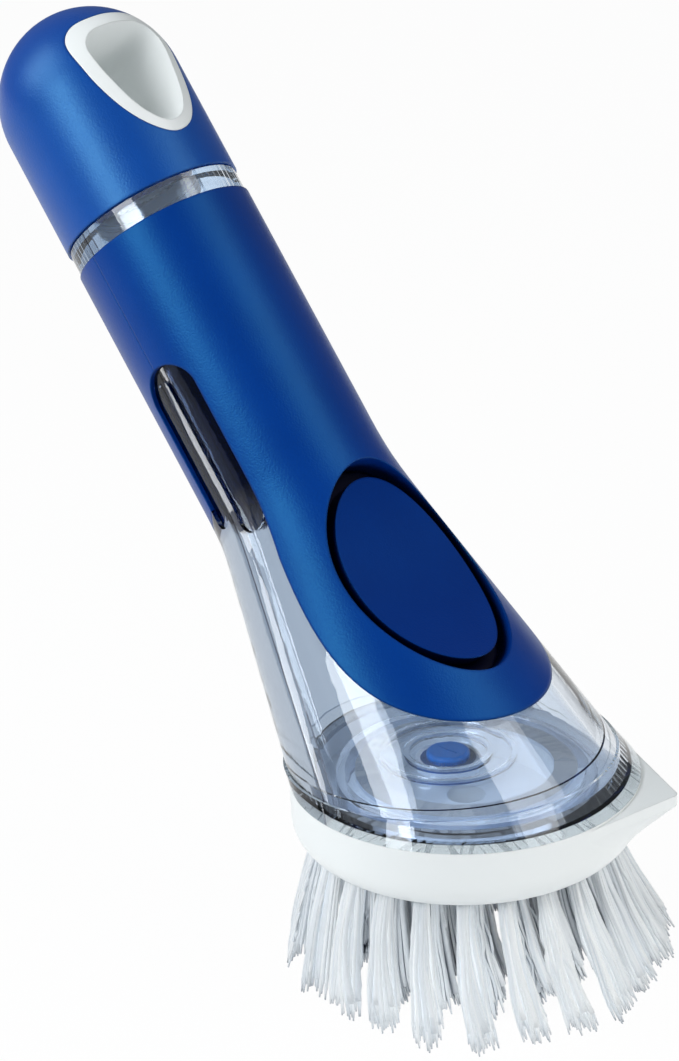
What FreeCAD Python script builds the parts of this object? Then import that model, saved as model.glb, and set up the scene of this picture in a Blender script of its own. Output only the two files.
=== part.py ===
# Dish wand: a clear soap tank for a handle, with blue grips and a squeeze button, a screw cap and a brush head.
# Lengths are in millimetres. Z is up along the brush axis and the bristle tips stand on Z = 0.
# X points to the button side, the handle leans back over -X, and the origin lies under the middle of the part.
# Pieces are made with the middle of the tank's rim at the origin, then lifted and shifted as they are written.
import math
import os

import FreeCAD
import Part

Vector = FreeCAD.Vector
Placement = FreeCAD.Placement
Rotation = FreeCAD.Rotation

# Handle: distances along it are measured on its axis, up from the plane of the rim
handle_lean = 38.0                      # degrees away from the brush axis
barrel_radius = 18.2
axis_setback = 4.4                      # how far behind the brush axis the handle axis meets the rim
bend_height = 56.8                      # where the straight barrel turns into the bell
grip_top = 114.7
neck_band = 4.8                         # clear band showing between grip and cap
band_step = 0.4                         # the band stands back from the grip by this much

# Bell: it ends in a tilted shoulder ring, with a plain band from there down to the round rim
rim_radius = 33.0
blend_length = 9.0                      # spacing of the rings that round off the bend
straight_rings = 4                      # rings on the straight barrel above the bend
shoulder_setback = 3.6
shoulder_height = 3.3
shoulder_depth_inset = 1.0              # how far the ring stands inside the rim at front and back
shoulder_width_inset = 1.8              # and at the sides
shoulder_ledge = 0.5                    # the bell stands inside the ring by this much
shoulder_tilt = 3.2                     # degrees
bell_inset_share = 1.3                  # the wall is measured level, so a slanting wall is set in further
ring_shares = (0.5, 0.75)
round_arcs = 8                          # arcs that make up each ring

# Walls, gaps and overruns
tank_wall = 3.2
grip_thickness = 1.4
seam_gap = 0.06                         # weld line between the two tank halves
running_gap = 0.4                       # between pieces that turn or slide past one another
overrun = 2.0                           # how far a cutting shape runs past the surface it cuts
far = 140.0                             # half the size of a cutting block
sewing = 0.001
joining = 0.0001

# Grips: (out, along) points of their lower ends, as shares of the barrel radius and of the bend's distance
window_front_share = 0.40
window_rear_share = 0.31
tongue_shares = ((0.40, 0.83), (0.48, 0.61), (0.66, 0.40), (0.93, 0.23), (1.18, 0.12), (1.46, 0.016),
                 (1.72, -0.07))
rear_end_shares = ((-0.31, 1.10), (-0.60, 1.045), (-1.00, 1.01), (-1.60, 1.00))

# Side windows, with a rib along the weld line and hollows on both sides of it
window_top = 90.1
window_arch_height = 5.8
window_low = 60.0                       # the grips' edges run straight on from here
window_depth = 0.9
rib_half_width = 1.5
rib_nose_gap = 2.7                      # from the rib's nose to the top of the window
front_hollow_low = 54.0
rear_hollow_low = 58.0

# Button: an oval pad, dished along its length, in a groove round it
button_height = 33.9
pad_half_width = 13.5
pad_half_length = 20.1
groove_width = 1.95
groove_length = 2.9
dish_shares = (0.868, 0.871, 1.286)     # upper end, middle and lower end of the dish, out from the axis
pad_thickness = 3.4
pad_gap = 0.3
membrane_thickness = 0.8
lip_thickness = 1.2
well_wall = 1.6
frame_thickness = 1.6
button_reach = 45.0                     # far enough out from the axis to clear the bell

# Filling neck and cap
neck_plug = 12.0
spout_step = 1.8                        # from the barrel's bore in to the spout
spout_wall = 2.0
spout_height = 5.7
thread_pitch = 3.0
thread_turns = 1.1
thread_width = 1.0
thread_height = 1.0
thread_root = 0.2
thread_start = 0.6                      # above the foot of the cap
cap_gap = 0.3
cap_height = 42.6
cap_wall = 2.2
liner_wall = 1.4
liner_top = 1.2
gasket_thickness = 0.8

# Eyelet: (side, along) points of half its outline, as shares of the barrel radius and of the cap's height
eyelet_shares = ((0.0, 0.183), (0.215, 0.218), (0.41, 0.322), (0.545, 0.474), (0.61, 0.627), (0.575, 0.744),
                 (0.42, 0.806), (0.2, 0.822))
eyelet_top_share = 0.826
eyelet_rim = 1.7
eyelet_waist_share = 0.72

# Tank floor, level with the rim, with its valve and the socket for the head
floor_thickness = 1.6
socket_inset = 8.4                      # from the rim in to the outside of the socket's skirt
skirt_wall = 1.8
skirt_depth = 4.7
valve_ring_radius = 7.4                 # two raised rings round the valve
valve_ring_width = 1.1
wide_ring_radius = 12.0
wide_ring_width = 1.0
floor_ring_height = 0.9
valve_radius = 4.1
valve_crown = 0.9
crown_round_share = 0.75
valve_flange = 1.2                      # how far the flange stands out past the hole
valve_flange_thickness = 1.0
slit_length = 4.6
slit_width = 0.3
slit_depth = 1.2
retainer_wall = 1.0
retainer_lip = 0.8
retainer_bore = 3.0

# Twist lugs of the head
lug_count = 3
lug_turn = 40.0                         # degrees covered by each lug
lug_pitch = 12.0
lug_thickness = 1.0
lug_reach = 1.5
lug_gap = 0.3
lug_lift = 0.2                          # from the foot of the skirt up to the ramps

# Brush base with its scraper
base_height = 12.8
base_round = 6.0
spigot_wall = 4.4
seal_thickness = 0.8
base_floor = 6.3
base_wall = 3.0
base_hollow = 5.2
outlet_radius = 3.6
scraper_turn = 27.0                     # degrees round from the button side
scraper_reach = 7.3
scraper_top = 0.5                       # depth of the beak's upper face below the rim
scraper_edge = 2.7                      # depth of the beak's lower corner below the rim
scraper_foot = 1.8                      # from the base's underside up to where the beak runs out into it
scraper_round = 1.2
scraper_sink = 0.05                     # the beak grows out of the base from this far inside its side
scraper_steps = 14                      # sections that shape the beak's underside

# Tufts, in three rings that spread outwards: shares of the rim where they leave the base, and at their tips
outer_tufts = 22
outer_share = 0.812
outer_tip_share = 1.0576
middle_tufts = 16
middle_share = 0.5636
middle_tip_share = 0.7091
inner_tufts = 10
inner_share = 0.3152
inner_tip_share = 0.3879
bristle_length = 26.7
tuft_root_radius = 1.5
tuft_tip_radius = 3.1
tuft_depth = 4.5
anchor_length = 2.4
anchor_width = 0.5
anchor_height = 1.6

# Sizes that follow from the ones above
band_top = grip_top + neck_band
cap_bottom = band_top + cap_gap
cap_top = cap_bottom + cap_height
bore_radius = barrel_radius - tank_wall
spout_radius = bore_radius - spout_step
neck_bore = spout_radius - spout_wall
shoulder_depth = rim_radius - shoulder_depth_inset
shoulder_width = rim_radius - shoulder_width_inset
window_spring = window_top - window_arch_height
window_middle = (window_low + window_spring) / 2
rib_top = window_top - rib_nose_gap
rim_lift = base_height + bristle_length
scraper_root = base_height - scraper_foot
socket_radius = rim_radius - socket_inset
skirt_radius = socket_radius - skirt_wall
lug_bottom = lug_lift - skirt_depth
spigot_radius = skirt_radius - lug_reach - running_gap
seat_depth = pad_thickness + pad_gap
frame_depth = seat_depth + membrane_thickness
well_depth = frame_depth + frame_thickness
handle = Placement(Vector(-axis_setback, 0, 0), Rotation(Vector(0, 1, 0), -handle_lean))


# Helpers
def on_handle(shape):
    moved = shape.copy()
    moved.Placement = handle.multiply(moved.Placement)
    return moved


def line(start, end):
    return Part.LineSegment(start, end).toShape()


def curve(points):
    spline = Part.BSplineCurve()
    spline.interpolate(points)
    return spline.toShape()


def tube(outer, inner, bottom, top):
    ring = Part.makeCylinder(outer, top - bottom, Vector(0, 0, bottom))
    return ring.cut(Part.makeCylinder(inner, top - bottom + 2 * overrun, Vector(0, 0, bottom - overrun)))


def disc(radius, bottom, top):
    return Part.makeCylinder(radius, top - bottom, Vector(0, 0, bottom))


def slab(bottom, top):
    return Part.makeBox(2 * far, 2 * far, top - bottom, Vector(-far, -far, bottom))


def side_prism(edges):
    face = Part.Face(Part.Wire(edges))
    face.translate(Vector(0, -far, 0))
    return face.extrude(Vector(0, 2 * far, 0))


def around(shape, count):
    turned = []
    for index in range(count):
        copy = shape.copy()
        copy.rotate(Vector(0, 0, 0), Vector(0, 0, 1), 360.0 * index / count)
        turned.append(copy)
    return turned


def helix_ridge(pitch, turns, inner, outer, width, bottom):
    corners = [Vector(inner, 0, 0), Vector(outer, 0, 0), Vector(outer, 0, width), Vector(inner, 0, width)]
    section = Part.makePolygon(corners + corners[:1])
    path = Part.Wire(Part.makeHelix(pitch, pitch * turns, inner).Edges)
    ridge = path.makePipeShell([section], True, True)
    ridge.translate(Vector(0, 0, bottom))
    return ridge


# Tank form: rings (centre, towards the front, towards the side) swept smoothly into one surface
def barrel_ring(along, radius):
    centre = handle.multVec(Vector(0, 0, along))
    front = handle.Rotation.multVec(Vector(radius, 0, 0))
    return (centre, front, Vector(0, radius, 0))


def shoulder_ring(inset):
    tilt = math.radians(shoulder_tilt)
    depth = shoulder_depth - inset
    front = Vector(depth * math.cos(tilt), 0, depth * math.sin(tilt))
    return (Vector(-shoulder_setback, 0, shoulder_height), front, Vector(0, shoulder_width - inset, 0))


def rim_ring(inset):
    radius = rim_radius - inset
    return (Vector(0, 0, 0), Vector(radius, 0, 0), Vector(0, radius, 0))


def mix_rings(first, second, share):
    return tuple(a + (b - a) * share for a, b in zip(first, second))


def bell_rings(inset):
    radius = barrel_radius - inset
    corner = barrel_ring(bend_height, radius)
    shoulder = shoulder_ring(inset * bell_inset_share + shoulder_ledge)
    first_share = blend_length / (shoulder[0] - corner[0]).Length
    rings = [barrel_ring(bend_height + step * blend_length, radius) for step in range(straight_rings, 0, -1)]
    rings.append(corner)
    rings.extend(mix_rings(corner, shoulder, share) for share in (first_share,) + ring_shares)
    rings.append(shoulder)
    return rings


def circle_controls():
    turn = 2 * math.pi / round_arcs
    pull = 4 / 3 * math.tan(turn / 4)
    controls = [(-1.0, 0.0)]
    for index in range(round_arcs):
        start = math.pi + index * turn
        end = start + turn
        controls.append((math.cos(start) - pull * math.sin(start), math.sin(start) + pull * math.cos(start)))
        controls.append((math.cos(end) + pull * math.sin(end), math.sin(end) - pull * math.cos(end)))
    controls.append((-1.0, 0.0))
    return controls


def ring_surface(rings, degree):
    poles = []
    for across, aside in circle_controls():
        poles.append([centre + front * across + side * aside for centre, front, side in rings])
    round_mults = [4] + [2] * (round_arcs - 1) + [4]
    length_mults = [degree + 1] + [1] * (len(rings) - degree - 1) + [degree + 1]
    round_knots = [float(index) for index in range(len(round_mults))]
    length_knots = [float(index) for index in range(len(length_mults))]
    surface = Part.BSplineSurface()
    surface.buildFromPolesMultsKnots(poles, round_mults, length_mults, round_knots, length_knots,
                                     False, False, 3, degree)
    return surface


def closed_solid(surface):
    faces = [surface.toShape()]
    for knot in (surface.getVKnots()[0], surface.getVKnots()[-1]):
        faces.append(Part.Face(Part.Wire(surface.vIso(knot).toShape())))
    sewn = Part.Compound(faces)
    sewn.sewShape(sewing)
    solid = Part.Solid(sewn.Shells[0])
    if solid.Volume < 0:
        solid.reverse()
    return solid


def tank_form(inset, top):
    level_inset = inset * bell_inset_share
    bell = closed_solid(ring_surface(bell_rings(inset), 3))
    band = closed_solid(ring_surface([shoulder_ring(level_inset), rim_ring(level_inset)], 1))
    start = bend_height + straight_rings * blend_length
    barrel = disc(barrel_radius - inset, start, top)
    barrel.rotate(Vector(0, 0, 0), Vector(0, 0, 1), 180)
    return bell.fuse([on_handle(barrel), band], joining)


# Outlines seen from the side of the handle, and the button's oval and dish
def side_point(out, along):
    return Vector(out, 0, along)


def share_points(shares):
    return [side_point(out * barrel_radius, along * bend_height) for out, along in shares]


def front_region():
    tongue = share_points(tongue_shares)
    window_edge = side_point(window_front_share * barrel_radius, window_middle)
    start = side_point(0, grip_top + overrun)
    turn = side_point(0, window_middle)
    low = side_point(far, tongue[-1].z)
    high = side_point(far, grip_top + overrun)
    edges = [line(start, turn), line(turn, window_edge), line(window_edge, tongue[0]), curve(tongue)]
    edges += [line(tongue[-1], low), line(low, high), line(high, start)]
    return on_handle(side_prism(edges))


def rear_region():
    end = share_points(rear_end_shares)
    window_edge = side_point(-window_rear_share * barrel_radius, window_middle)
    start = side_point(0, grip_top + overrun)
    turn = side_point(0, window_middle)
    low = side_point(-far, end[-1].z)
    high = side_point(-far, grip_top + overrun)
    edges = [line(start, turn), line(turn, window_edge), line(window_edge, end[0]), curve(end)]
    edges += [line(end[-1], low), line(low, high), line(high, start)]
    return on_handle(side_prism(edges))


def slot_prism(rear, front, bottom, top, round_below):
    middle = (rear + front) / 2
    half = (front - rear) / 2
    low_rear, low_front = side_point(rear, bottom + half), side_point(front, bottom + half)
    high_rear, high_front = side_point(rear, top), side_point(front, top)
    edges = [line(high_front, high_rear), line(high_rear, low_rear)]
    if round_below:
        edges.append(Part.Arc(low_rear, side_point(middle, bottom), low_front).toShape())
    else:
        edges.append(line(low_rear, low_front))
    edges.append(line(low_front, high_front))
    return side_prism(edges)


def window_prism():
    rear = -window_rear_share * barrel_radius
    front = window_front_share * barrel_radius
    low_rear, low_front = side_point(rear, window_low), side_point(front, window_low)
    spring_rear, spring_front = side_point(rear, window_spring), side_point(front, window_spring)
    arch = Part.Arc(spring_rear, side_point((rear + front) / 2, window_top), spring_front).toShape()
    sides = [line(low_rear, spring_rear), arch, line(spring_front, low_front)]
    return side_prism(sides + [line(low_front, low_rear)])


def hollow_prism():
    rear = -window_rear_share * barrel_radius
    front = window_front_share * barrel_radius
    front_slot = slot_prism(rib_half_width, front, front_hollow_low, window_middle, True)
    rear_slot = slot_prism(rear, -rib_half_width, rear_hollow_low, window_middle, True)
    upper = window_prism().common(slab(window_middle - overrun, window_top + overrun))
    nose = Part.Arc(side_point(-rib_half_width, rib_top - rib_half_width), side_point(0, rib_top),
                    side_point(rib_half_width, rib_top - rib_half_width)).toShape()
    foot_rear = side_point(-rib_half_width, window_middle - far)
    foot_front = side_point(rib_half_width, window_middle - far)
    rib = side_prism([line(foot_rear, nose.Vertexes[0].Point), nose, line(nose.Vertexes[1].Point, foot_front),
                      line(foot_front, foot_rear)])
    return on_handle(upper.cut(rib).fuse([front_slot, rear_slot]))


def oval_prism(half_length, half_width):
    oval = Part.Ellipse(Vector(0, 0, 0), half_length, half_width)
    face = Part.Face(Part.Wire(oval.toShape()))
    face.Placement = Placement(Vector(0, 0, button_height), Rotation(Vector(0, 1, 0), -90))
    return on_handle(face.extrude(Vector(button_reach, 0, 0)))


def pad_prism(grow):
    return oval_prism(pad_half_length + grow, pad_half_width + grow)


def opening_prism(grow):
    return oval_prism(pad_half_length + groove_length + grow, pad_half_width + groove_width + grow)


def dish_cylinder(depth):
    ends = (button_height + pad_half_length, button_height, button_height - pad_half_length)
    points = [side_point(share * barrel_radius, along) for share, along in zip(dish_shares, ends)]
    dish = Part.Arc(*points).toShape().Curve
    start = dish.Center - Vector(0, far, 0)
    return on_handle(Part.makeCylinder(dish.Radius + depth, 2 * far, start, Vector(0, 1, 0)))


def dish_band(near, deep):
    return dish_cylinder(deep).cut(dish_cylinder(near))


# Tank body
def make_grips(form):
    skin = form.cut(tank_form(grip_thickness, grip_top + overrun))
    window = on_handle(window_prism())
    opening = opening_prism(0)
    front = skin.common(front_region()).cut([window, opening])
    lip = opening_prism(lip_thickness).cut(opening).common(form).common(dish_cylinder(well_depth))
    front = front.fuse(lip).removeSplitter()
    rear = skin.common(rear_region()).cut(window)
    return front, rear


def make_shells(form, front_grip, rear_grip):
    band = on_handle(Part.makeCylinder(barrel_radius - band_step, neck_band, Vector(0, 0, grip_top)))
    cavity = tank_form(tank_wall, band_top + overrun)
    well = opening_prism(lip_thickness + well_wall).common(form).common(dish_cylinder(well_depth))
    hollow = form.cut(tank_form(window_depth, grip_top + overrun)).common(hollow_prism())
    tank = form.fuse(band).cut(cavity).fuse(well)
    tank = tank.cut([opening_prism(0), hollow, front_grip, rear_grip])
    half_gap = seam_gap / 2
    front_half = on_handle(Part.makeBox(far, 2 * far, 3 * far, Vector(half_gap, -far, -far)))
    rear_half = on_handle(Part.makeBox(far, 2 * far, 3 * far, Vector(-far - half_gap, -far, -far)))
    return tank.common(front_half), tank.common(rear_half)


def make_neck():
    plug = disc(bore_radius, band_top - neck_plug, band_top)
    spout = disc(spout_radius, band_top, band_top + spout_height)
    thread = helix_ridge(thread_pitch, thread_turns, spout_radius - thread_root, spout_radius + thread_height,
                         thread_width, cap_bottom + thread_start)
    bore = disc(neck_bore, band_top - neck_plug - overrun, band_top + spout_height + overrun)
    return on_handle(plug.fuse([spout, thread]).cut(bore))


def at_valve(shape):
    shape.translate(Vector(-axis_setback, 0, 0))
    return shape


def make_floor():
    plate = tank_form(tank_wall, grip_top).common(slab(0, floor_thickness))
    skirt = tube(socket_radius, skirt_radius, -skirt_depth, 0)
    ring_top = floor_thickness + floor_ring_height
    valve_ring = tube(valve_ring_radius + valve_ring_width, valve_ring_radius, floor_thickness, ring_top)
    wide_ring = tube(wide_ring_radius + wide_ring_width, wide_ring_radius, floor_thickness, ring_top)
    ramp = helix_ridge(lug_pitch, lug_turn / 360, spigot_radius + running_gap, skirt_radius + thread_root,
                       lug_thickness, lug_bottom)
    floor = plate.fuse([skirt, at_valve(valve_ring), at_valve(wide_ring)] + around(ramp, lug_count))
    hole = at_valve(disc(valve_radius, -overrun, floor_thickness + overrun))
    return floor.cut(hole).removeSplitter()


def make_valve():
    top = floor_thickness + valve_crown
    stem = disc(valve_radius, 0, top)
    crown_edges = [edge for edge in stem.Edges if edge.CenterOfMass.z > top - sewing]
    stem = stem.makeFillet(valve_crown * crown_round_share, crown_edges)
    flange = disc(valve_radius + valve_flange, -valve_flange_thickness, 0)
    slit = Part.makeBox(slit_length, slit_width, slit_depth + overrun,
                        Vector(-slit_length / 2, -slit_width / 2, top - slit_depth))
    return at_valve(stem.fuse(flange).cut(slit).removeSplitter())


def make_retainer():
    inner = valve_radius + valve_flange
    bottom = -valve_flange_thickness - retainer_lip
    ring = tube(inner + retainer_wall, inner, bottom, 0)
    lip = tube(inner + retainer_wall, retainer_bore, bottom, -valve_flange_thickness)
    return at_valve(ring.fuse(lip).removeSplitter())


def make_membrane():
    return opening_prism(0).common(dish_band(seat_depth, frame_depth))


def make_membrane_frame():
    ring = opening_prism(0).cut(pad_prism(running_gap))
    return ring.common(dish_band(frame_depth, well_depth))


def make_pad():
    return pad_prism(0).common(dish_band(0, pad_thickness))


# Cap
def cap_form(radius, bottom):
    centre = cap_top - barrel_radius
    dome = Part.makeSphere(radius, Vector(0, 0, centre)).common(slab(centre, cap_top))
    return disc(radius, bottom, centre).fuse(dome)


def eyelet_wire(out, shrink, share):
    right = []
    for side, along in eyelet_shares:
        right.append(Vector(out, side * barrel_radius, cap_bottom + along * cap_height))
    top = Vector(out, 0, cap_bottom + eyelet_top_share * cap_height)
    left = [Vector(out, -point.y, point.z) for point in reversed(right[1:])]
    points = right + [top] + left
    middle = Vector(out, 0, cap_bottom + (eyelet_shares[0][1] + eyelet_top_share) / 2 * cap_height)
    shrunk = []
    for point in points:
        ray = point - middle
        shrunk.append(middle + ray * ((ray.Length - shrink) / ray.Length * share))
    spline = Part.BSplineCurve()
    spline.interpolate(shrunk, PeriodicFlag=True)
    return Part.Wire(spline.toShape())


def make_cap():
    inner = cap_form(barrel_radius - cap_wall, cap_bottom - overrun)
    form = cap_form(barrel_radius, cap_bottom)
    reach = barrel_radius + overrun
    hole = Part.Face(eyelet_wire(-reach, 0, 1)).extrude(Vector(2 * reach, 0, 0))
    wires = [eyelet_wire(-reach, eyelet_rim, 1), eyelet_wire(0, eyelet_rim, eyelet_waist_share),
             eyelet_wire(reach, eyelet_rim, 1)]
    bore = Part.makeLoft(wires, True, False)
    shell = form.cut([inner, hole])
    eyelet = form.common(hole).cut(bore)
    return on_handle(shell), on_handle(eyelet)


def make_liner():
    ceiling = band_top + spout_height + gasket_thickness
    outer = barrel_radius - cap_wall
    inner = outer - liner_wall
    skirt = tube(outer, inner, cap_bottom + cap_gap, ceiling)
    thread = helix_ridge(thread_pitch, thread_turns, inner - thread_height, inner + thread_root,
                         thread_width, cap_bottom + thread_start)
    thread.rotate(Vector(0, 0, 0), Vector(0, 0, 1), 180)
    return on_handle(skirt.fuse([thread, disc(outer, ceiling, ceiling + liner_top)]).removeSplitter())


def make_gasket():
    seat = band_top + spout_height
    outer = barrel_radius - cap_wall - liner_wall - running_gap
    return on_handle(tube(outer, neck_bore, seat, seat + gasket_thickness))


# Brush head
def base_side(depth):
    below = max(depth - (base_height - base_round), 0)
    return rim_radius - base_round + math.sqrt(base_round ** 2 - below ** 2)


def beak_wire(depth, reach):
    side = base_side(depth) - scraper_sink
    centre = reach - scraper_round
    turn = math.acos((side - scraper_round) / centre)
    touch = Vector(side * math.cos(turn), side * math.sin(turn), -depth)
    bend = Vector(centre + scraper_round * math.cos(turn), scraper_round * math.sin(turn), -depth)
    touch_back, bend_back = Vector(touch.x, -touch.y, -depth), Vector(bend.x, -bend.y, -depth)
    tip = Vector(reach, 0, -depth)
    middle = Vector(0, 0, -depth)
    edges = [line(middle, touch_back), line(touch_back, bend_back), Part.Arc(bend_back, tip, bend).toShape()]
    return Part.Wire(edges + [line(bend, touch), line(touch, middle)])


def make_scraper():
    tip = rim_radius + scraper_reach
    wires = [beak_wire(scraper_top, tip)]
    for step in range(scraper_steps):
        share = step / scraper_steps
        depth = scraper_edge + (scraper_root - scraper_edge) * share
        wires.append(beak_wire(depth, tip + (base_side(scraper_root) - tip) * share))
    beak = Part.makeLoft(wires, True, True).cut(disc(rim_radius - base_wall, -far, far))
    beak.rotate(Vector(0, 0, 0), Vector(0, 0, 1), scraper_turn)
    return beak


def tuft_axis(leave_share, tip_share):
    leave = Vector(rim_radius * leave_share, 0, -base_height)
    tip = Vector(rim_radius * tip_share, 0, -base_height - bristle_length)
    return leave, (tip - leave).normalize(), (tip - leave).Length


def make_tuft(leave_share, tip_share):
    leave, way, length = tuft_axis(leave_share, tip_share)
    root = Part.makeCylinder(tuft_root_radius, tuft_depth, leave - way * tuft_depth, way)
    spread = (tuft_tip_radius - tuft_root_radius) / length
    brush = Part.makeCone(tuft_root_radius, tuft_tip_radius + spread * overrun, length + overrun, leave, way)
    return root.fuse(brush).common(slab(-base_height - bristle_length, 0))


def make_anchor(leave_share, tip_share):
    leave, way, length = tuft_axis(leave_share, tip_share)
    corner = Vector(-anchor_width / 2, -anchor_length / 2, 0)
    anchor = Part.makeBox(anchor_width, anchor_length, anchor_height, corner)
    seat = Placement(leave - way * tuft_depth, Rotation(Vector(0, 0, -1), way))
    anchor.Placement = seat.multiply(anchor.Placement)
    return anchor


def make_head():
    tufts = {}
    anchors = []
    rings = (("tufts_outer", outer_tufts, outer_share, outer_tip_share),
             ("tufts_middle", middle_tufts, middle_share, middle_tip_share),
             ("tufts_inner", inner_tufts, inner_share, inner_tip_share))
    for name, count, leave_share, tip_share in rings:
        tufts[name] = Part.Compound(around(make_tuft(leave_share, tip_share), count))
        anchors.extend(around(make_anchor(leave_share, tip_share), count))
    body = disc(rim_radius, -base_height, 0)
    under_edges = [edge for edge in body.Edges if edge.CenterOfMass.z < -base_height + sewing]
    body = body.makeFillet(base_round, under_edges)
    spigot = disc(spigot_radius, -base_height / 2, -seal_thickness)
    lug = helix_ridge(lug_pitch, lug_turn / 360, spigot_radius - thread_root, spigot_radius + lug_reach,
                      lug_thickness, lug_bottom + lug_thickness + lug_gap)
    hollow = tube(rim_radius - base_wall, spigot_radius, -base_hollow, overrun)
    pocket = disc(spigot_radius - spigot_wall, base_floor - base_height, overrun)
    above = disc(rim_radius - base_wall, -seal_thickness, overrun)
    outlet = disc(outlet_radius, -base_height - overrun, 0)
    base = body.fuse(make_scraper()).cut([hollow, above]).fuse([spigot] + around(lug, lug_count))
    base = base.cut([pocket, outlet] + list(tufts.values()) + anchors).removeSplitter()
    return base, tufts, Part.Compound(anchors)


def make_head_seal():
    return tube(spigot_radius, spigot_radius - spigot_wall, -seal_thickness, 0)


def make_all():
    nodes = {}
    form = tank_form(0, grip_top)
    front_grip, rear_grip = make_grips(form)
    nodes["front_grip"] = front_grip
    nodes["rear_grip"] = rear_grip
    nodes["tank_front_shell"], nodes["tank_rear_shell"] = make_shells(form, front_grip, rear_grip)
    nodes["tank_neck"] = make_neck()
    nodes["tank_floor"] = make_floor()
    nodes["outlet_valve"] = make_valve()
    nodes["valve_retainer"] = make_retainer()
    nodes["button_diaphragm"] = make_membrane()
    nodes["diaphragm_frame"] = make_membrane_frame()
    nodes["button_pad"] = make_pad()
    nodes["cap_shell"], nodes["hang_eyelet"] = make_cap()
    nodes["cap_liner"] = make_liner()
    nodes["cap_gasket"] = make_gasket()
    nodes["brush_base"], tufts, nodes["tuft_anchors"] = make_head()
    nodes.update(tufts)
    nodes["head_seal"] = make_head_seal()
    return nodes


nodes = make_all()
back = nodes["cap_shell"].optimalBoundingBox(False, False).XMin
front = nodes["tufts_outer"].optimalBoundingBox(False, False).XMax
shift = Vector(-(back + front) / 2, 0, rim_lift)
os.makedirs("parts", exist_ok=True)
for name, shape in nodes.items():
    shape.translate(shift)
    shape.exportStep("parts/" + name + ".step")
    print(name, "solids", len(shape.Solids), "valid", shape.isValid(), "volume", round(shape.Volume, 1))
print("shift", shift)
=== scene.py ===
import bpy
import math
import random
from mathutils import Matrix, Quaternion, Vector
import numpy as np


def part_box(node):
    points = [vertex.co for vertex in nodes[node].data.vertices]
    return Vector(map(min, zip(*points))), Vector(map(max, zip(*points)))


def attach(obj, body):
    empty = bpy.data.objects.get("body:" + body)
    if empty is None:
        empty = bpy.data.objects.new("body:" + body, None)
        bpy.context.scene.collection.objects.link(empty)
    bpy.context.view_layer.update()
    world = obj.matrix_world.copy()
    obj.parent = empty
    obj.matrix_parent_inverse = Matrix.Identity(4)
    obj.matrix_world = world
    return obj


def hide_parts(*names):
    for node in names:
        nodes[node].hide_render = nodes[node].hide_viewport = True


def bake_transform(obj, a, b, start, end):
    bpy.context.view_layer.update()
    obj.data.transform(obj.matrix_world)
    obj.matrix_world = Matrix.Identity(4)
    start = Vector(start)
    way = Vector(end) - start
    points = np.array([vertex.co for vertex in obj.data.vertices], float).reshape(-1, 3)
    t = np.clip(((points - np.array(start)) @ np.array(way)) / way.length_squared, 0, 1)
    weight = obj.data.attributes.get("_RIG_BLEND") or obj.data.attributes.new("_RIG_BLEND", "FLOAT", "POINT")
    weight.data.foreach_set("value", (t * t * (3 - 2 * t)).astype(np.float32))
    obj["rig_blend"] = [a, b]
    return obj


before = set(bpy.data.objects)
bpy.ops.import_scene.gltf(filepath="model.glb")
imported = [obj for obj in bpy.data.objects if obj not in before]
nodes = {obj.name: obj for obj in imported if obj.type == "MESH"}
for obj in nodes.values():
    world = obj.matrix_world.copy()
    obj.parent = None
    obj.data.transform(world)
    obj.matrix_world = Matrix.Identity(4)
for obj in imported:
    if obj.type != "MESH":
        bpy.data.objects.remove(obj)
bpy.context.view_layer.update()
scene = bpy.context.scene
print("frame loaded:", len(nodes), "CAD nodes")

mm = 0.001


# shader helpers
shading = {"grainDetail": 2.0, "edgeSamples": 4, "driftDetail": 3.0, "driftStops": (0.3, 0.7), "gapSamples": 8}


def newFinish(name):
    finish = bpy.data.materials.new(name)
    finish.use_nodes = True
    shader = finish.node_tree.nodes["Principled BSDF"]
    return finish, shader


def setSockets(shader, values):
    for socket, value in values.items():
        shader.inputs[socket].default_value = value


def addGrain(finish, shader, grain):
    # fine moulded texture: a bump, and a little drift in the gloss
    tree = finish.node_tree
    place = tree.nodes.new("ShaderNodeTexCoord")
    noise = tree.nodes.new("ShaderNodeTexNoise")
    noise.inputs["Scale"].default_value = grain["scale"]
    noise.inputs["Detail"].default_value = shading["grainDetail"]
    bump = tree.nodes.new("ShaderNodeBump")
    bump.inputs["Strength"].default_value = grain["strength"]
    bump.inputs["Distance"].default_value = grain["depth"] * mm
    drift = tree.nodes.new("ShaderNodeMapRange")
    drift.inputs["To Min"].default_value = grain["rough"][0]
    drift.inputs["To Max"].default_value = grain["rough"][1]
    tree.links.new(place.outputs["Object"], noise.inputs["Vector"])
    tree.links.new(noise.outputs["Fac"], bump.inputs["Height"])
    tree.links.new(noise.outputs["Fac"], drift.inputs["Value"])
    tree.links.new(drift.outputs["Result"], shader.inputs["Roughness"])
    if "edge" in grain:
        edge = tree.nodes.new("ShaderNodeBevel")
        edge.samples = shading["edgeSamples"]
        edge.inputs["Radius"].default_value = grain["edge"] * mm
        tree.links.new(edge.outputs["Normal"], bump.inputs["Normal"])
    tree.links.new(bump.outputs["Normal"], shader.inputs["Normal"])


def mixColours(tree, share, first, second):
    # from a fixed colour to the colour of another node
    mix = tree.nodes.new("ShaderNodeMix")
    mix.data_type = "RGBA"
    mix.inputs["A"].default_value = (*first, 1)
    tree.links.new(share, mix.inputs["Factor"])
    tree.links.new(second, mix.inputs["B"])
    return mix.outputs["Result"]


def alongWay(tree, place, way):
    # how far a place lies along a direction
    dot = tree.nodes.new("ShaderNodeVectorMath")
    dot.operation = "DOT_PRODUCT"
    dot.inputs[1].default_value = way
    tree.links.new(place, dot.inputs[0])
    return dot.outputs["Value"]


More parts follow.
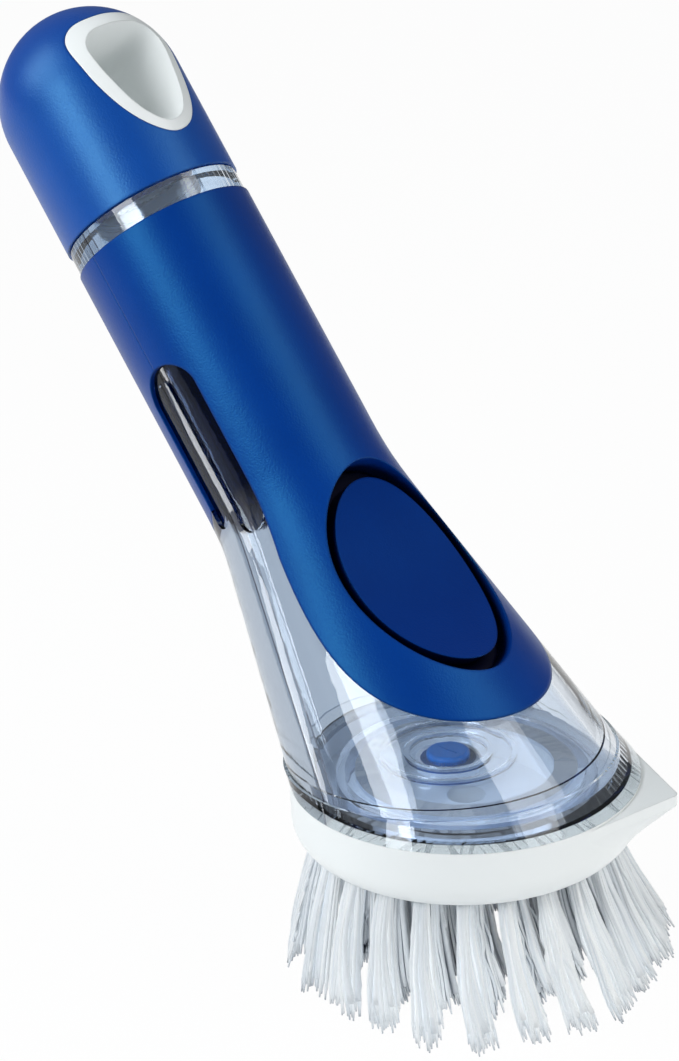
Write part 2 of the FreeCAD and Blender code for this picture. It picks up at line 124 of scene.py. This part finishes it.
def paintHollowShade(tree, colour, paintedShade):
    # painted shade: narrow gaps, found by ambient occlusion, go over to a dark shade colour
    shade = tree.nodes.new("ShaderNodeAmbientOcclusion")
    shade.samples = shading["gapSamples"]
    shade.inputs["Distance"].default_value = paintedShade["reach"] * mm
    depth = tree.nodes.new("ShaderNodeMapRange")
    depth.inputs["From Min"].default_value, depth.inputs["From Max"].default_value = paintedShade["open"]
    tree.links.new(shade.outputs["AO"], depth.inputs["Value"])
    return mixColours(tree, depth.outputs["Result"], paintedShade["colour"], colour)


def addTintAndPaintedShade(finish, shader, scale, dark, light, paintedShade):
    # slow random drift between two tones of the base colour, and painted shade down in narrow gaps
    tree = finish.node_tree
    place = tree.nodes.new("ShaderNodeTexCoord")
    drift = tree.nodes.new("ShaderNodeTexNoise")
    drift.inputs["Scale"].default_value = scale
    drift.inputs["Detail"].default_value = shading["driftDetail"]
    ramp = tree.nodes.new("ShaderNodeValToRGB")
    for index, tint in enumerate((dark, light)):
        ramp.color_ramp.elements[index].position = shading["driftStops"][index]
        ramp.color_ramp.elements[index].color = (*tint, 1)
    tree.links.new(place.outputs["Object"], drift.inputs["Vector"])
    tree.links.new(drift.outputs["Fac"], ramp.inputs["Fac"])
    # painted shade in narrow gaps
    colour = paintHollowShade(tree, ramp.outputs["Color"], paintedShade)
    tree.links.new(colour, shader.inputs["Base Color"])


# blue over-moulded grips, cap and thumb pad
softTouch = {
    "softBlue": {"dark": (0.0, 0.024, 0.212), "light": (0.0, 0.029, 0.24),
                 "sheen": (0.10, 0.62, 1.0), "gloss": 0.62},
    # the cap is the grips' material in a lighter blue: painted light for its broad highlight
    "capBluePaintedLight": {"dark": (0.0, 0.042, 0.29), "light": (0.0, 0.050, 0.325),
                "sheen": (0.22, 0.68, 1.0), "gloss": 0.95},
    "padNavy": {"dark": (0.0, 0.020, 0.175), "light": (0.0, 0.024, 0.195),
                "sheen": (0.08, 0.50, 1.0), "gloss": 0.3},
}
softGrain = {"scale": 2600, "strength": 0.42, "depth": 0.1, "rough": (0.32, 0.44), "edge": 0.6}
softDrift = 60
# painted shade: the groove round the thumb pad and other narrow gaps on the blue parts go near black
paintedGrooveShade = {"reach": 4.0, "open": (0.45, 0.85), "colour": (0.0, 0.0015, 0.022)}


def softTouchFinish(name):
    look = softTouch[name]
    finish, shader = newFinish(name)
    setSockets(shader, {"Specular IOR Level": look["gloss"], "Specular Tint": (*look["sheen"], 1)})
    addTintAndPaintedShade(finish, shader, softDrift, look["dark"], look["light"], paintedGrooveShade)
    addGrain(finish, shader, softGrain)
    return finish


# clear tank plastic; up in the barrel the wall is painted dark navy, painted shade for the grips' blue insides
# lying in shade behind it, and its reflections are dimmed with it
clearLooks = {
    "clearFront": {"tint": (0.83, 0.885, 0.95), "barrel": (0.05, 0.09, 0.28)},
    # the rear shell is the same clear plastic as the front, tinted darker: painted shade on the bell's shaded
    # left side
    "clearRearPaintedShade": {"tint": (0.41, 0.48, 0.57), "barrel": (0.05, 0.09, 0.28)},
    "clearNeck": {"tint": (0.80, 0.90, 1.0)},
    "clearFloor": {"tint": (0.53, 0.61, 0.74)},
}
clearGrain = {"scale": 90, "strength": 0.02, "depth": 0.3, "rough": (0.01, 0.04)}
clearIndex = 1.46
handleFoot = Vector((32.1903 * mm, 0, 39.5 * mm))
handleWay = Vector((-0.615661, 0, 0.788011))
barrel = {"span": (57, 112), "stops": (0.11, 0.8, 0.9), "sheenGamma": 0.35}
# the weld between the two halves: a thin dark line, no edge to see inside the wall
weld = {"way": Vector((0.788011, 0, 0.615661)), "face": 0.045, "line": 0.17,
        "colour": (0.03, 0.035, 0.07), "rib": (1.3, 2.0)}


def fromWeld(tree):
    # how far a point lies from the plane of the weld
    place = tree.nodes.new("ShaderNodeTexCoord")
    shift = tree.nodes.new("ShaderNodeMath")
    shift.operation = "SUBTRACT"
    shift.inputs[1].default_value = handleFoot.dot(weld["way"])
    size = tree.nodes.new("ShaderNodeMath")
    size.operation = "ABSOLUTE"
    tree.links.new(alongWay(tree, place.outputs["Object"], weld["way"]), shift.inputs[0])
    tree.links.new(shift.outputs[0], size.inputs[0])
    return size.outputs[0]


def beyond(tree, away, limit):
    test = tree.nodes.new("ShaderNodeMath")
    test.operation = "GREATER_THAN"
    test.inputs[1].default_value = limit * mm
    tree.links.new(away, test.inputs[0])
    return test.outputs[0]


def addWeld(tree, shader, away, colour):
    tree.links.new(beyond(tree, away, weld["face"]), shader.inputs["Alpha"])
    return mixColours(tree, beyond(tree, away, weld["line"]), weld["colour"], colour)


def addBarrelShadeAndWeld(finish, shader, look):
    tree = finish.node_tree
    place = tree.nodes.new("ShaderNodeTexCoord")
    foot = handleFoot.dot(handleWay)
    share = tree.nodes.new("ShaderNodeMapRange")
    share.inputs["From Min"].default_value = foot + barrel["span"][0] * mm
    share.inputs["From Max"].default_value = foot + barrel["span"][1] * mm
    # painted shade: the clear wall goes over to dark navy up the barrel
    ramp = tree.nodes.new("ShaderNodeValToRGB")
    stops = ramp.color_ramp.elements
    stops[0].color = stops[1].color = (*look["tint"], 1)
    stops[1].position = barrel["stops"][2]
    for stop in barrel["stops"][:2]:
        stops.new(stop).color = (*look["barrel"], 1)
    tree.links.new(alongWay(tree, place.outputs["Object"], handleWay), share.inputs["Value"])
    tree.links.new(share.outputs["Result"], ramp.inputs["Fac"])
    # the rib along the weld stays clear right up the window
    away = fromWeld(tree)
    rib = tree.nodes.new("ShaderNodeMapRange")
    rib.inputs["From Min"].default_value = weld["rib"][0] * mm
    rib.inputs["From Max"].default_value = weld["rib"][1] * mm
    tree.links.new(away, rib.inputs["Value"])
    wall = mixColours(tree, rib.outputs["Result"], look["tint"], ramp.outputs["Color"])
    # the reflections on the wall dim with the painted shade
    sheen = tree.nodes.new("ShaderNodeGamma")
    sheen.inputs["Gamma"].default_value = barrel["sheenGamma"]
    tree.links.new(wall, sheen.inputs["Color"])
    tree.links.new(sheen.outputs["Color"], shader.inputs["Specular Tint"])
    tree.links.new(addWeld(tree, shader, away, wall), shader.inputs["Base Color"])


def clearFinish(name):
    look = clearLooks[name]
    finish, shader = newFinish(name)
    setSockets(shader, {"Base Color": (*look["tint"], 1), "IOR": clearIndex, "Transmission Weight": 1.0})
    if "barrel" in look:
        addBarrelShadeAndWeld(finish, shader, look)
    addGrain(finish, shader, clearGrain)
    return finish


# white head and eyelet, rubbers, valve
plainLooks = {
    "whitePlastic": {"colour": (0.88, 0.90, 0.895), "gloss": 0.5,
                     "grain": {"scale": 900, "strength": 0.03, "depth": 0.1, "rough": (0.26, 0.36),
                               "edge": 0.4}},
    "naturalPlastic": {"colour": (0.82, 0.88, 0.94), "gloss": 0.5,
                       "grain": {"scale": 900, "strength": 0.03, "depth": 0.1, "rough": (0.3, 0.42)}},
    "grooveRubber": {"colour": (0.0006, 0.0010, 0.016), "gloss": 0.12,
                     "grain": {"scale": 1800, "strength": 0.08, "depth": 0.1, "rough": (0.5, 0.6)}},
    "frameNavy": {"colour": (0.001, 0.008, 0.055), "gloss": 0.15,
                  "grain": {"scale": 1800, "strength": 0.08, "depth": 0.1, "rough": (0.5, 0.6)}},
    "valveBlue": {"colour": (0.0, 0.095, 0.36), "gloss": 0.2,
                  "grain": {"scale": 1200, "strength": 0.05, "depth": 0.1, "rough": (0.3, 0.4)}},
    "sealRubber": {"colour": (0.62, 0.67, 0.72), "gloss": 0.4,
                   "grain": {"scale": 1800, "strength": 0.1, "depth": 0.1, "rough": (0.45, 0.6)}},
}


def plainFinish(name):
    look = plainLooks[name]
    finish, shader = newFinish(name)
    setSockets(shader, {"Base Color": (*look["colour"], 1), "Specular IOR Level": look["gloss"]})
    addGrain(finish, shader, look["grain"])
    return finish


# staples that hold the tufts
steel = {"colour": (0.62, 0.62, 0.63),
         "grain": {"scale": 1500, "strength": 0.05, "depth": 0.05, "rough": (0.3, 0.4)}}


def steelFinish():
    finish, shader = newFinish("anchorSteel")
    setSockets(shader, {"Base Color": (*steel["colour"], 1), "Metallic": 1.0})
    addGrain(finish, shader, steel["grain"])
    return finish


# bristle nylon: each filament has its own shade of white, and painted shade greys the gaps between and under
# the tufts
nylon = {"dark": (0.73, 0.765, 0.80), "light": (0.87, 0.88, 0.885), "gloss": 0.3,
         "paintedGapShade": {"reach": 5.0, "open": (0.12, 0.62), "colour": (0.34, 0.37, 0.42)},
         "grain": {"scale": 700, "strength": 0.05, "depth": 0.1, "rough": (0.34, 0.46)}}


def nylonFinish():
    finish, shader = newFinish("bristleNylon")
    setSockets(shader, {"Specular IOR Level": nylon["gloss"]})
    tree = finish.node_tree
    strand = tree.nodes.new("ShaderNodeNewGeometry")
    ramp = tree.nodes.new("ShaderNodeValToRGB")
    ramp.color_ramp.elements[0].color = (*nylon["dark"], 1)
    ramp.color_ramp.elements[1].color = (*nylon["light"], 1)
    tree.links.new(strand.outputs["Random Per Island"], ramp.inputs["Fac"])
    # painted shade in the gaps between tufts
    colour = paintHollowShade(tree, ramp.outputs["Color"], nylon["paintedGapShade"])
    tree.links.new(colour, shader.inputs["Base Color"])
    addGrain(finish, shader, nylon["grain"])
    return finish


finishes = {name: softTouchFinish(name) for name in softTouch}
finishes.update({name: plainFinish(name) for name in plainLooks})
finishes.update({name: clearFinish(name) for name in clearLooks})
finishes["bristleNylon"] = nylonFinish()
finishes["anchorSteel"] = steelFinish()

nodeFinish = {
    "tank_front_shell": "clearFront", "tank_rear_shell": "clearRearPaintedShade", "tank_neck": "clearNeck",
    "tank_floor": "clearFloor", "front_grip": "softBlue", "rear_grip": "softBlue", "cap_shell": "capBluePaintedLight",
    "hang_eyelet": "whitePlastic", "cap_liner": "naturalPlastic", "cap_gasket": "sealRubber",
    "outlet_valve": "valveBlue", "valve_retainer": "naturalPlastic", "button_pad": "padNavy",
    "button_diaphragm": "grooveRubber", "diaphragm_frame": "frameNavy", "brush_base": "whitePlastic",
    "tufts_outer": "bristleNylon", "tufts_middle": "bristleNylon", "tufts_inner": "bristleNylon",
    "tuft_anchors": "anchorSteel", "head_seal": "sealRubber",
}
for nodeName, finishName in nodeFinish.items():
    skin = nodes[nodeName].data
    skin.materials.clear()
    skin.materials.append(finishes[finishName])
    if finishName in clearLooks:
        nodes[nodeName].visible_shadow = False  # the lamps shine through into the tank
print("finishes set on", len(nodeFinish), "nodes")


# bristles: every tuft is a few locks of nylon filaments that wave together
headAxis = Vector((36.5903 * mm, 0, 0))
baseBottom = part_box("brush_base")[0].z
tuftRings = {
    "bristlesOuter": {"node": "tufts_outer", "count": 22,
                      "root": 26.8, "tip": 34.9, "seed": 11, "shades": False},
    "bristlesMiddle": {"node": "tufts_middle", "count": 16,
                       "root": 18.6, "tip": 23.4, "seed": 12, "shades": True},
    "bristlesInner": {"node": "tufts_inner", "count": 10,
                      "root": 10.4, "tip": 12.8, "seed": 13, "shades": True},
}
tuft = {"locks": 9, "strands": 8, "rootSpread": 1.3, "tipSpread": 3.1, "lockSpread": 0.32, "sunk": 1.0,
        "ragged": 3.4, "cutSpread": 0.45, "nibbled": 1.6, "bow": 0.9, "core": (0.4, 0.8), "coreShort": 3.4,
        "wave": 0.17, "waveLength": 15.0, "waveVary": (0.75, 1.35), "waveRise": 2.5, "waveOut": 0.4,
        "phaseSpread": 0.25, "strayShare": 0.06, "strayWave": 0.8, "lean": 3.0, "leanWay": (0.714, 0.700)}
filament = {"radius": 0.35, "sides": 5, "steps": 10, "point": 0.45}


def diskPoint(dice):
    angle = dice.uniform(0, 2 * math.pi)
    reach = math.sqrt(dice.random())
    return reach * math.cos(angle), reach * math.sin(angle)


def newLock(dice):
    return {"seat": diskPoint(dice),
            "phase": dice.uniform(0, 2 * math.pi),
            "cut": abs(dice.gauss(0, tuft["cutSpread"])) * tuft["ragged"],
            "bow": (dice.gauss(0, 1), dice.gauss(0, 1)),
            "length": tuft["waveLength"] * dice.uniform(*tuft["waveVary"])}


def strandPath(lock, place, seat, cut, phase, swing):
    root, tip, outward, sideways = place
    a, b = seat
    start = root + (outward * a + sideways * b) * tuft["rootSpread"] * mm
    end = tip + (outward * a + sideways * b) * tuft["tipSpread"] * mm
    way = (end - start).normalized()
    # blunt ends at uneven heights, none below the plane of the tips
    end += way * ((cut * mm - end.z) / way.z)
    bend = (outward * lock["bow"][0] + sideways * lock["bow"][1]) * tuft["bow"] * mm
    start -= way * tuft["sunk"] * mm
    waves = (end - start).length / (lock["length"] * mm)
    lean = Vector((*tuft["leanWay"], 0)) * tuft["lean"] * mm
    waveWay = sideways + outward * tuft["waveOut"]
    points = []
    for step in range(filament["steps"] + 1):
        share = step / filament["steps"]
        wave = math.sin(phase + share * waves * 2 * math.pi) * min(1, share * tuft["waveRise"])
        sway = bend * (share * share - share) + waveWay * wave * swing * mm
        points.append(start.lerp(end, share) + sway + lean * share * share)
    return points


def filamentPath(dice, lock, place):
    seat = [middle + dice.uniform(-1, 1) * tuft["lockSpread"] for middle in lock["seat"]]
    cut = lock["cut"] + abs(dice.gauss(0, 1)) * tuft["nibbled"]
    stray = dice.random() < tuft["strayShare"]
    swing = tuft["strayWave" if stray else "wave"]
    phase = lock["phase"] + dice.gauss(0, tuft["phaseSpread"]) + (dice.uniform(0, 2 * math.pi) if stray else 0)
    return strandPath(lock, place, seat, cut, phase, swing)


def addStrand(points, radii, verts, faces):
    sides = filament["sides"]
    first = len(verts)
    for index, (point, radius) in enumerate(zip(points, radii)):
        ahead = points[min(index + 1, len(points) - 1)] - points[max(index - 1, 0)]
        turn = ahead.to_track_quat("Z", "X")
        for side in range(sides):
            angle = 2 * math.pi * side / sides
            verts.append(point + turn @ Vector((math.cos(angle), math.sin(angle), 0)) * radius * mm)
    for index in range(len(points) - 1):
        for side in range(sides):
            low = first + index * sides
            after = (side + 1) % sides
            faces.append((low + side, low + after, low + sides + after, low + sides + side))
    last = first + (len(points) - 1) * sides
    faces.append(tuple(last + side for side in range(sides)))
    faces.append(tuple(first + side for side in reversed(range(sides))))


def addLock(dice, place, verts, faces):
    lock = newLock(dice)
    even = [filament["radius"]] * filament["steps"] + [filament["radius"] * filament["point"]]
    for _ in range(tuft["strands"]):
        addStrand(filamentPath(dice, lock, place), even, verts, faces)
    # the filaments packed together inside the lock
    thin, thick = tuft["core"]
    packed = [thin + (thick - thin) * step / filament["steps"] for step in range(filament["steps"] + 1)]
    inner = strandPath(lock, place, lock["seat"], lock["cut"] + tuft["coreShort"], lock["phase"], tuft["wave"])
    addStrand(inner, packed, verts, faces)


def bristleRing(name):
    ring = tuftRings[name]
    dice = random.Random(ring["seed"])
    verts, faces = [], []
    for index in range(ring["count"]):
        angle = 2 * math.pi * index / ring["count"]
        outward = Vector((math.cos(angle), math.sin(angle), 0))
        sideways = Vector((-math.sin(angle), math.cos(angle), 0))
        root = headAxis + outward * ring["root"] * mm + Vector((0, 0, baseBottom))
        tip = headAxis + outward * ring["tip"] * mm
        for _ in range(tuft["locks"]):
            addLock(dice, (root, tip, outward, sideways), verts, faces)
    mesh = bpy.data.meshes.new(name)
    mesh.from_pydata([tuple(v) for v in verts], [], faces)
    mesh.polygons.foreach_set("use_smooth", [len(p.vertices) == 4 for p in mesh.polygons])
    mesh.materials.append(finishes["bristleNylon"])
    piece = bpy.data.objects.new(name, mesh)
    piece.visible_shadow = ring["shades"]  # the thin outer nylon lets the light through
    scene.collection.objects.link(piece)
    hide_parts(ring["node"])
    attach(piece, "head")
    return piece


for ringName in tuftRings:
    made = bristleRing(ringName)
    print("bristles:", ringName, len(made.data.vertices), "points")


# rubber membrane under the thumb pad: it goes in with the pad, and its rim stays in the tank
membrane = {"node": "button_diaphragm", "height": 33.9, "half": (23.0, 15.45), "reach": 45.0, "spokes": 96,
            "edgeSearch": (0.9, 1.1), "halvings": 14,
            "rings": (0.3, 0.6, 0.8, 0.876, 0.88, 0.884, 0.888, 0.892, 0.93, 0.97, 1.0),
            "bend": (0.876, 0.892)}
pressWay = -weld["way"]
membraneMiddle = handleFoot + handleWay * membrane["height"] * mm


def sheetHits(along, across):
    # top and underside of the membrane at this place, or None beside it
    spot = membraneMiddle + (handleWay * along + Vector((0, across, 0))) * mm
    far = pressWay * membrane["reach"] * mm
    found = [nodes[membrane["node"]].ray_cast(spot + side * far, -side * pressWay) for side in (-1, 1)]
    return [hit[1] for hit in found] if found[0][0] and found[1][0] else None


def spokeReach(along, across):
    # halves the search until it sits on the membrane's edge
    inside, outside = membrane["edgeSearch"]
    for _ in range(membrane["halvings"]):
        middle = (inside + outside) / 2
        if sheetHits(along * middle, across * middle):
            inside = middle
        else:
            outside = middle
    return inside


def membraneMesh():
    spokes, rings = membrane["spokes"], membrane["rings"]
    verts, shares = list(sheetHits(0, 0)), [0.0, 0.0]
    for spoke in range(spokes):
        angle = 2 * math.pi * spoke / spokes
        along, across = math.cos(angle) * membrane["half"][0], math.sin(angle) * membrane["half"][1]
        reach = spokeReach(along, across)
        for share in rings:
            verts += sheetHits(along * reach * share, across * reach * share)
            shares += [share, share]
    faces = []
    step = 2 * len(rings)
    for spoke in range(spokes):
        here, after = 2 + spoke * step, 2 + (spoke + 1) % spokes * step
        faces += [(0, here, after), (1, after + 1, here + 1)]
        for ring in range(0, step - 2, 2):
            faces.append((here + ring, here + ring + 2, after + ring + 2, after + ring))
            faces.append((after + ring + 1, after + ring + 3, here + ring + 3, here + ring + 1))
        faces.append((here + step - 2, here + step - 1, after + step - 1, after + step - 2))
    mesh = bpy.data.meshes.new("membrane")
    mesh.from_pydata([tuple(v) for v in verts], [], faces)
    mesh.polygons.foreach_set("use_smooth", [True] * len(mesh.polygons))
    mesh.materials.append(finishes["grooveRubber"])
    return mesh, shares


def makeMembrane():
    mesh, shares = membraneMesh()
    piece = bpy.data.objects.new("membrane", mesh)
    scene.collection.objects.link(piece)
    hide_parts(membrane["node"])
    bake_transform(piece, "tank", "button",
             start=membraneMiddle + handleWay * membrane["half"][0] * mm, end=membraneMiddle)
    # what lies under the pad follows it whole, the rim not at all
    inner, outer = membrane["bend"]
    follow = [min(1.0, max(0.0, (outer - share) / (outer - inner))) for share in shares]
    mesh.attributes["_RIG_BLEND"].data.foreach_set("value", follow)
    return piece


print("membrane:", len(makeMembrane().data.vertices), "points")


# camera
view = {"place": (316.49, -307.68, 249.59), "azimuth": 44.475, "elevation": 24.532, "roll": -2.045,
        "lens": 84.0, "sensor": 36, "clip": (0.01, 20), "shift": (-0.0354, 0.1354)}
around, above = math.radians(view["azimuth"]), math.radians(view["elevation"])
viewBack = Vector((math.sin(around) * math.cos(above), -math.cos(around) * math.cos(above), math.sin(above)))
cameraData = bpy.data.cameras.new("camera")
cameraData.lens = view["lens"]
cameraData.sensor_width = view["sensor"]
cameraData.shift_x, cameraData.shift_y = view["shift"]
cameraData.clip_start, cameraData.clip_end = view["clip"]
camera = bpy.data.objects.new("camera", cameraData)
scene.collection.objects.link(camera)
camera.rotation_mode = "QUATERNION"
camera.location = Vector(view["place"]) * mm
levelTurn = (-viewBack).to_track_quat("-Z", "Y")
camera.rotation_quaternion = levelTurn @ Quaternion((0, 0, 1), math.radians(view["roll"]))
scene.camera = camera
viewRight = levelTurn @ Vector((1, 0, 0))
viewUp = levelTurn @ Vector((0, 1, 0))
print("camera set")


# studio: pale floor, dim surround that is lighter overhead, soft boxes placed as seen from the camera
studio = {
    "floorSize": 6.0, "floorDrop": 0.0004, "floorColour": (0.93, 0.935, 0.94), "floorRough": 0.7,
    "floorGlow": 0.965, "bounces": 24, "diffuseBounces": 10,
    "surround": (0.86, 0.94, 1.0), "lightSide": (-0.1, 0.9, 0.4), "surroundRange": (0.10, 0.32),
    "boxes": {
        "leftBox": {"aim": (0.04, -0.02, 0.055), "toward": (-0.62, 0.24, 0.75), "far": 0.75,
                    "size": (0.23, 0.32), "roll": -18, "glow": 10.0, "colour": (0.96, 0.985, 1.0)},
        "sideBox": {"aim": (-0.02, 0, 0.11), "toward": (-0.76, 0.54, 0.38), "far": 0.5,
                    "size": (0.3, 0.3), "roll": 0, "glow": 3.8, "colour": (0.96, 0.985, 1.0)},
        "rightBox": {"aim": (0.055, -0.01, 0.05), "toward": (0.59, 0.62, 0.51), "far": 0.8,
                     "size": (0.46, 0.26), "roll": 0, "glow": 3.8, "colour": (1.0, 0.99, 0.97)},
        "lowBox": {"aim": (0.036, 0, 0.02), "toward": (0.90, -0.12, 0.42), "far": 0.34,
                   "size": (0.2, 0.1), "roll": 0, "glow": 5.2, "colour": (1.0, 0.99, 0.97)},
        "ribCard": {"aim": (-0.0165, -0.018, 0.104), "toward": (-0.96, -0.26, -0.06), "far": 0.28,
                    "size": (0.028, 0.07), "roll": 20, "glow": 8.0, "colour": (0.97, 0.985, 1.0),
                    "only": ("tank_front_shell", "tank_rear_shell")},
    },
}


def addBox(name, box):
    aim = Vector(box["aim"])
    right, up, back = box["toward"]
    seat = aim + (viewRight * right + viewUp * up + viewBack * back).normalized() * box["far"]
    lampData = bpy.data.lights.new(name, "AREA")
    lampData.shape = "RECTANGLE"
    lampData.size, lampData.size_y = box["size"]
    lampData.energy = box["glow"] * math.pi * box["size"][0] * box["size"][1]
    lampData.color = box["colour"]
    lamp = bpy.data.objects.new(name, lampData)
    lamp.location = seat
    lamp.rotation_mode = "QUATERNION"
    level = (aim - seat).to_track_quat("-Z", "Y")
    lamp.rotation_quaternion = level @ Quaternion((0, 0, 1), math.radians(box["roll"]))
    scene.collection.objects.link(lamp)
    if "only" in box:
        lit = bpy.data.collections.new(name + "Lit")
        for nodeName in box["only"]:
            lit.objects.link(nodes[nodeName])
        lamp.light_linking.receiver_collection = lit


for boxName, box in studio["boxes"].items():
    addBox(boxName, box)


def raysOf(tree, kinds):
    # 1 for rays of these kinds, 0 for all others
    path = tree.nodes.new("ShaderNodeLightPath")
    found = path.outputs[kinds[0]]
    for kind in kinds[1:]:
        either = tree.nodes.new("ShaderNodeMath")
        either.operation = "MAXIMUM"
        tree.links.new(found, either.inputs[0])
        tree.links.new(path.outputs[kind], either.inputs[1])
        found = either.outputs[0]
    return found


def makeFloor():
    half = studio["floorSize"] / 2
    low = -studio["floorDrop"]
    mesh = bpy.data.meshes.new("floor")
    mesh.from_pydata([(-half, -half, low), (half, -half, low), (half, half, low), (-half, half, low)], [],
                     [(0, 1, 2, 3)])
    floor = bpy.data.objects.new("floor", mesh)
    scene.collection.objects.link(floor)
    finish, shader = newFinish("paleFloor")
    setSockets(shader, {"Base Color": (*studio["floorColour"], 1), "Roughness": studio["floorRough"]})
    tree = finish.node_tree
    glow = tree.nodes.new("ShaderNodeEmission")
    glow.inputs["Color"].default_value = (1, 1, 1, 1)
    mix = tree.nodes.new("ShaderNodeMixShader")
    share = tree.nodes.new("ShaderNodeMath")
    share.operation = "MULTIPLY"
    share.inputs[1].default_value = studio["floorGlow"]
    seen = raysOf(tree, ("Is Camera Ray", "Is Glossy Ray", "Is Transmission Ray"))
    tree.links.new(seen, share.inputs[0])
    tree.links.new(share.outputs[0], mix.inputs["Fac"])
    tree.links.new(shader.outputs["BSDF"], mix.inputs[1])
    tree.links.new(glow.outputs["Emission"], mix.inputs[2])
    tree.links.new(mix.outputs["Shader"], tree.nodes["Material Output"].inputs["Surface"])
    mesh.materials.append(finish)


def makeSurround():
    world = bpy.data.worlds.new("surround")
    scene.world = world
    world.use_nodes = True
    tree = world.node_tree
    soft = tree.nodes["Background"]
    soft.inputs["Color"].default_value = (*studio["surround"], 1)
    place = tree.nodes.new("ShaderNodeTexCoord")
    right, up, back = studio["lightSide"]
    lightWay = (viewRight * right + viewUp * up + viewBack * back).normalized()
    level = tree.nodes.new("ShaderNodeMapRange")
    level.inputs["From Min"].default_value = -1
    level.inputs["To Min"].default_value, level.inputs["To Max"].default_value = studio["surroundRange"]
    tree.links.new(alongWay(tree, place.outputs["Generated"], lightWay), level.inputs["Value"])
    tree.links.new(level.outputs["Result"], soft.inputs["Strength"])
    white = tree.nodes.new("ShaderNodeBackground")
    white.inputs["Color"].default_value = (1, 1, 1, 1)
    mix = tree.nodes.new("ShaderNodeMixShader")
    tree.links.new(raysOf(tree, ("Is Camera Ray", "Is Transmission Ray")), mix.inputs["Fac"])
    tree.links.new(soft.outputs["Background"], mix.inputs[1])
    tree.links.new(white.outputs["Background"], mix.inputs[2])
    tree.links.new(mix.outputs["Shader"], tree.nodes["World Output"].inputs["Surface"])


makeFloor()
makeSurround()
scene.view_settings.view_transform = "Standard"
scene.cycles.max_bounces = scene.cycles.transmission_bounces = studio["bounces"]
scene.cycles.diffuse_bounces = studio["diffuseBounces"]
print("studio set")
